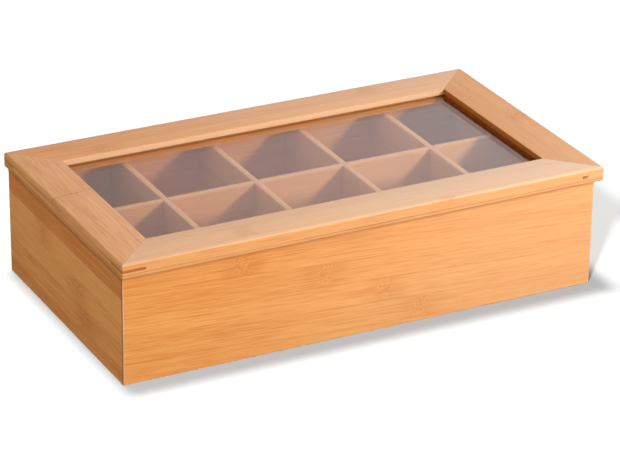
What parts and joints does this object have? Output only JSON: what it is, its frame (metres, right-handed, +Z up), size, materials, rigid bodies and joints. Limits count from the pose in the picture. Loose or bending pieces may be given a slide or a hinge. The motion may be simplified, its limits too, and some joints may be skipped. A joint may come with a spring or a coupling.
{
  "type": "tea bag organizer box",
  "caption": "Bamboo tea box: a tray of small compartments under a hinged lid, whose mitred frame holds a clear pane.",
  "frame": {"origin": "on the table, at the middle of the length and of the overall depth, hinge barrels included", "axes": "+X along the length to the right, front towards -Y, hinges at +Y, +Z up"},
  "size_m": [0.36, 0.2022, 0.09],
  "materials": {
    "bamboo": "satin lacquer",
    "divider_bamboo": "smooth, unlacquered",
    "key_bamboo": "satin lacquer",
    "pane": "clear acrylic",
    "brass": "plated, polished",
    "screws": "plated"
  },
  "bodies": {
    "tray": {"front_panel": "bamboo", "back_panel": "bamboo", "left_end_panel": "bamboo", "right_end_panel": "bamboo", "bottom_panel": "divider_bamboo", "long_divider": "divider_bamboo", "cross_divider_1": "divider_bamboo", "cross_divider_2": "divider_bamboo", "cross_divider_3": "divider_bamboo", "cross_divider_4": "divider_bamboo", "left_hinge_tray_leaf": "brass", "right_hinge_tray_leaf": "brass", "left_hinge_pin": "brass", "right_hinge_pin": "brass", "tray_leaf_screws": "screws"},
    "lid": {"lid_front_rail": "bamboo", "lid_back_rail": "bamboo", "lid_left_rail": "bamboo", "lid_right_rail": "bamboo", "window_pane": "pane", "front_left_key": "key_bamboo", "front_right_key": "key_bamboo", "back_left_key": "key_bamboo", "back_right_key": "key_bamboo", "left_hinge_lid_leaf": "brass", "right_hinge_lid_leaf": "brass", "lid_leaf_screws": "screws"}
  },
  "joints": [
    {"name": "lid_hinge", "type": "hinge", "parent": "tray", "child": "lid", "pos_m": [0, 0.09907, 0.08], "axis": [-1, 0, 0], "range_deg": [0, 180]}
  ]
}
